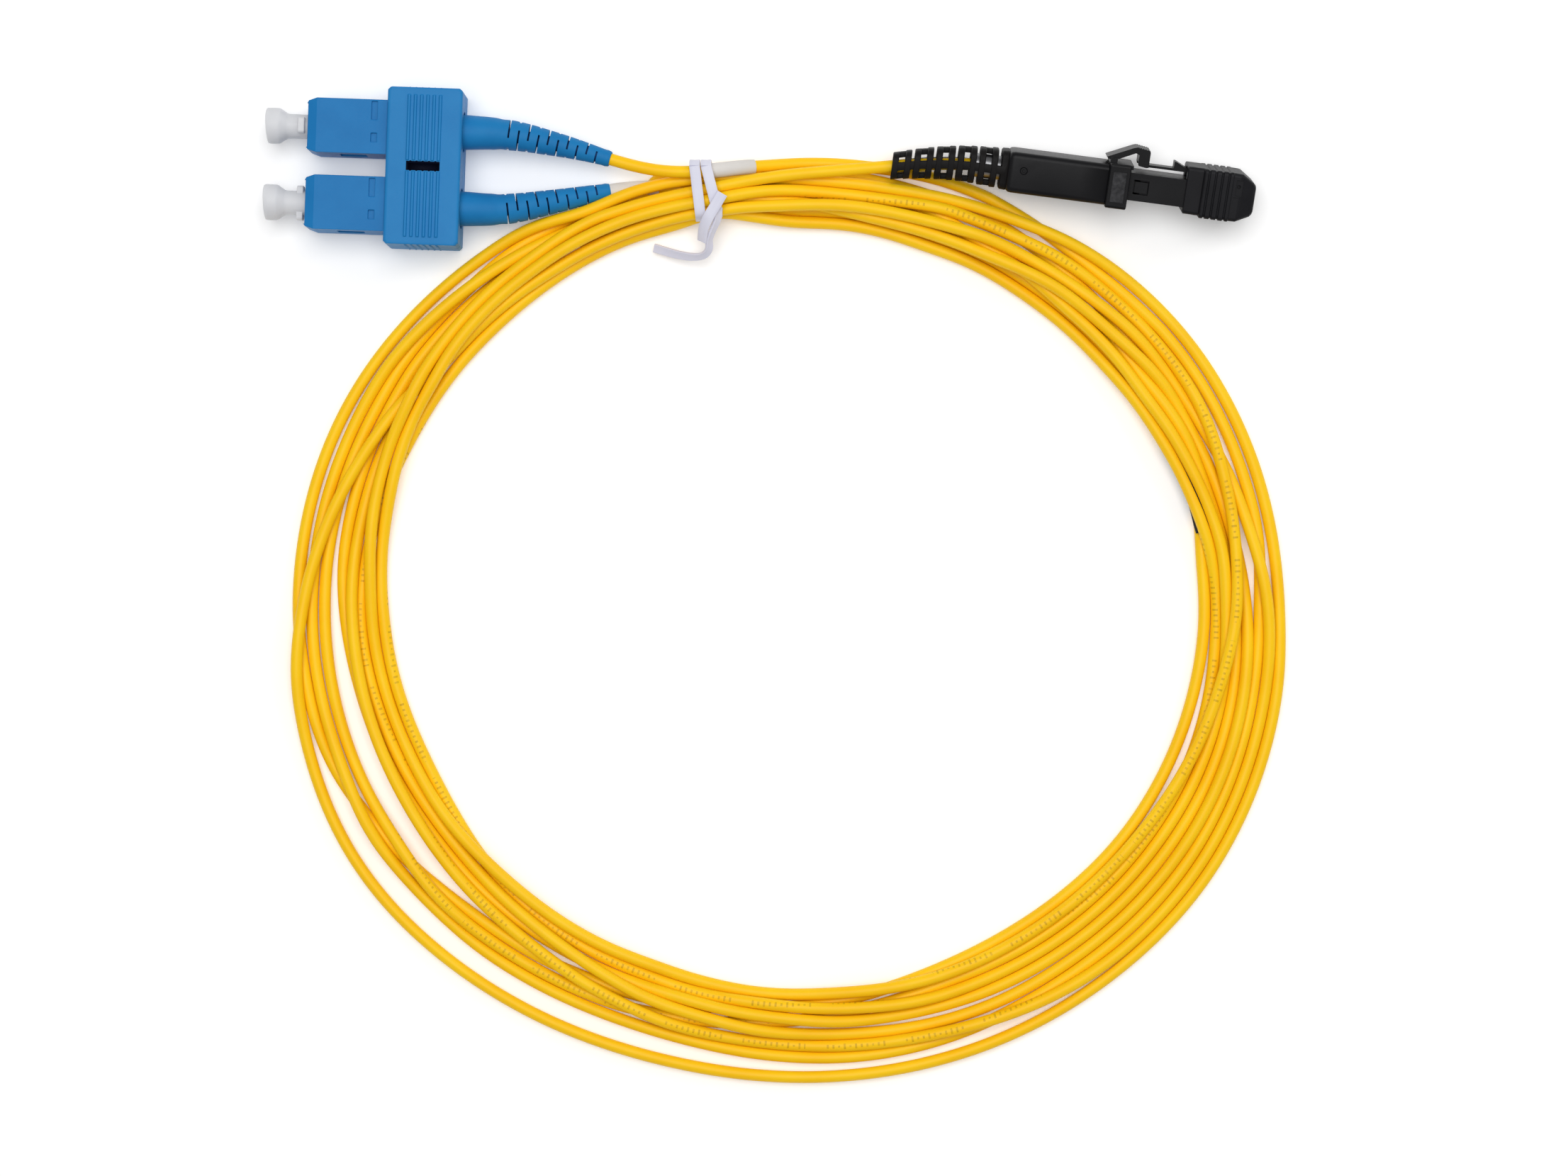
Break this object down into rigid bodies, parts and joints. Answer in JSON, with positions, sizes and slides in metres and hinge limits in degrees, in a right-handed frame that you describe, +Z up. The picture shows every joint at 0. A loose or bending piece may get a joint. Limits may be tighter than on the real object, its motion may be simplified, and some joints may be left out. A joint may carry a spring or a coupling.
{
  "type": "fiber optic patch cord",
  "caption": "Tied flat coil of yellow two-fibre cord with a clipped pair of blue square push-pull plugs at one end and a small black latching two-fibre plug at the other.",
  "frame": {"origin": "middle of the duplex clip's bottom face, on the table", "axes": "+X along the plug pair from the mouths to the boots, +Y towards the first plug, +Z up from the table"},
  "size_m": [0.172, 0.1632, 0.011],
  "materials": {
    "blue_clip": "satin moulded",
    "blue_housing": "satin moulded",
    "blue_frame": "satin moulded",
    "blue_boot": "soft satin",
    "white_cap": "translucent soft plastic",
    "ceramic": "polished ceramic",
    "steel": "turned",
    "nickel": "nickel plated",
    "yellow_jacket": "satin extruded jacket",
    "label_white": "matte heat-shrink film",
    "tie_white": "matte paper-backed plastic",
    "black_plastic": "fine spark texture",
    "black_rubber": "soft satin",
    "black_cap": "satin moulded",
    "fibre_buffer": "extruded buffer",
    "dark_resin": "glass-filled resin"
  },
  "bodies": {
    "cord_assembly": {"plug_frame_a": "blue_frame", "plug_frame_b": "blue_frame", "ferrule_spring_a": "steel", "ferrule_spring_b": "steel", "back_post_a": "nickel", "back_post_b": "nickel", "crimp_ring_a": "nickel", "crimp_ring_b": "nickel", "buffered_fibre_a": "fibre_buffer", "buffered_fibre_b": "fibre_buffer", "boot_a": "blue_boot", "boot_b": "blue_boot", "jack_plug_housing": "black_plastic", "jack_latch_collar": "black_plastic", "jack_rear_body": "black_plastic", "jack_ferrule_spring": "steel", "jack_spring_push": "black_plastic", "jack_crimp_ring": "nickel", "jack_fibre_pair": "fibre_buffer", "jack_boot": "black_rubber", "coil": "yellow_jacket", "leg_a": "yellow_jacket", "leg_b": "yellow_jacket", "trunk": "yellow_jacket", "label_sleeve_a": "label_white", "label_sleeve_b": "label_white", "breakout_sleeve": "black_rubber", "twist_tie": "tie_white"},
    "plug_grip": {"clip_lower_half": "blue_clip", "clip_upper_half": "blue_clip", "outer_housing_a": "blue_housing", "outer_housing_b": "blue_housing"},
    "ferrule_a_body": {"ferrule_a": "ceramic", "ferrule_flange_a": "nickel"},
    "ferrule_b_body": {"ferrule_b": "ceramic", "ferrule_flange_b": "nickel"},
    "cap_a": {"dust_cap_a": "white_cap"},
    "cap_b": {"dust_cap_b": "white_cap"},
    "jack_ferrule_body": {"jack_ferrule": "dark_resin", "jack_ferrule_spacer": "dark_resin"},
    "jack_trigger": {"jack_release_trigger": "black_plastic"},
    "jack_latch": {"jack_latch_arm": "black_plastic"},
    "jack_cap": {"jack_dust_cap": "black_cap"}
  },
  "joints": [
    {"name": "grip_slide", "type": "slide", "parent": "cord_assembly", "child": "plug_grip", "axis": [1, 0, 0], "range_m": [0, 0.0014]},
    {"name": "ferrule_a_float", "type": "slide", "parent": "cord_assembly", "child": "ferrule_a_body", "axis": [1, 0, 0], "range_m": [0, 0.001], "stiffness_N_per_m": 2500, "deforming": ["ferrule_spring_a"]},
    {"name": "cap_a_pull", "type": "slide", "parent": "ferrule_a_body", "child": "cap_a", "axis": [-1, 0, 0], "range_m": [0, 0.012]},
    {"name": "ferrule_b_float", "type": "slide", "parent": "cord_assembly", "child": "ferrule_b_body", "axis": [1, 0, 0], "range_m": [0, 0.001], "stiffness_N_per_m": 2500, "deforming": ["ferrule_spring_b"]},
    {"name": "cap_b_pull", "type": "slide", "parent": "ferrule_b_body", "child": "cap_b", "axis": [-1, 0, 0], "range_m": [0, 0.012]},
    {"name": "jack_ferrule_float", "type": "slide", "parent": "cord_assembly", "child": "jack_ferrule_body", "axis": [-0.9954, 0.0958, 0], "range_m": [0, 0.0009], "stiffness_N_per_m": 2000, "deforming": ["jack_ferrule_spring"]},
    {"name": "trigger_press", "type": "hinge", "parent": "cord_assembly", "child": "jack_trigger", "pos_m": [0.11376, 0.00584, 0.00648], "axis": [-0.0232, -0.2408, 0.9703], "range_deg": [-8, 0], "stiffness_Nm_per_rad": 0.002},
    {"name": "latch_flex", "type": "hinge", "parent": "cord_assembly", "child": "jack_latch", "pos_m": [0.1294, 0.00346, 0.00626], "axis": [-0.0232, -0.2408, 0.9703], "range_deg": [0, 4.2], "stiffness_Nm_per_rad": 0.001},
    {"name": "jack_cap_pull", "type": "slide", "parent": "cord_assembly", "child": "jack_cap", "axis": [0.9954, -0.0958, 0], "range_m": [0, 0.014]}
  ],
  "couplings": [
    {"joint": "latch_flex", "follows": "trigger_press", "ratio": -0.5}
  ]
}
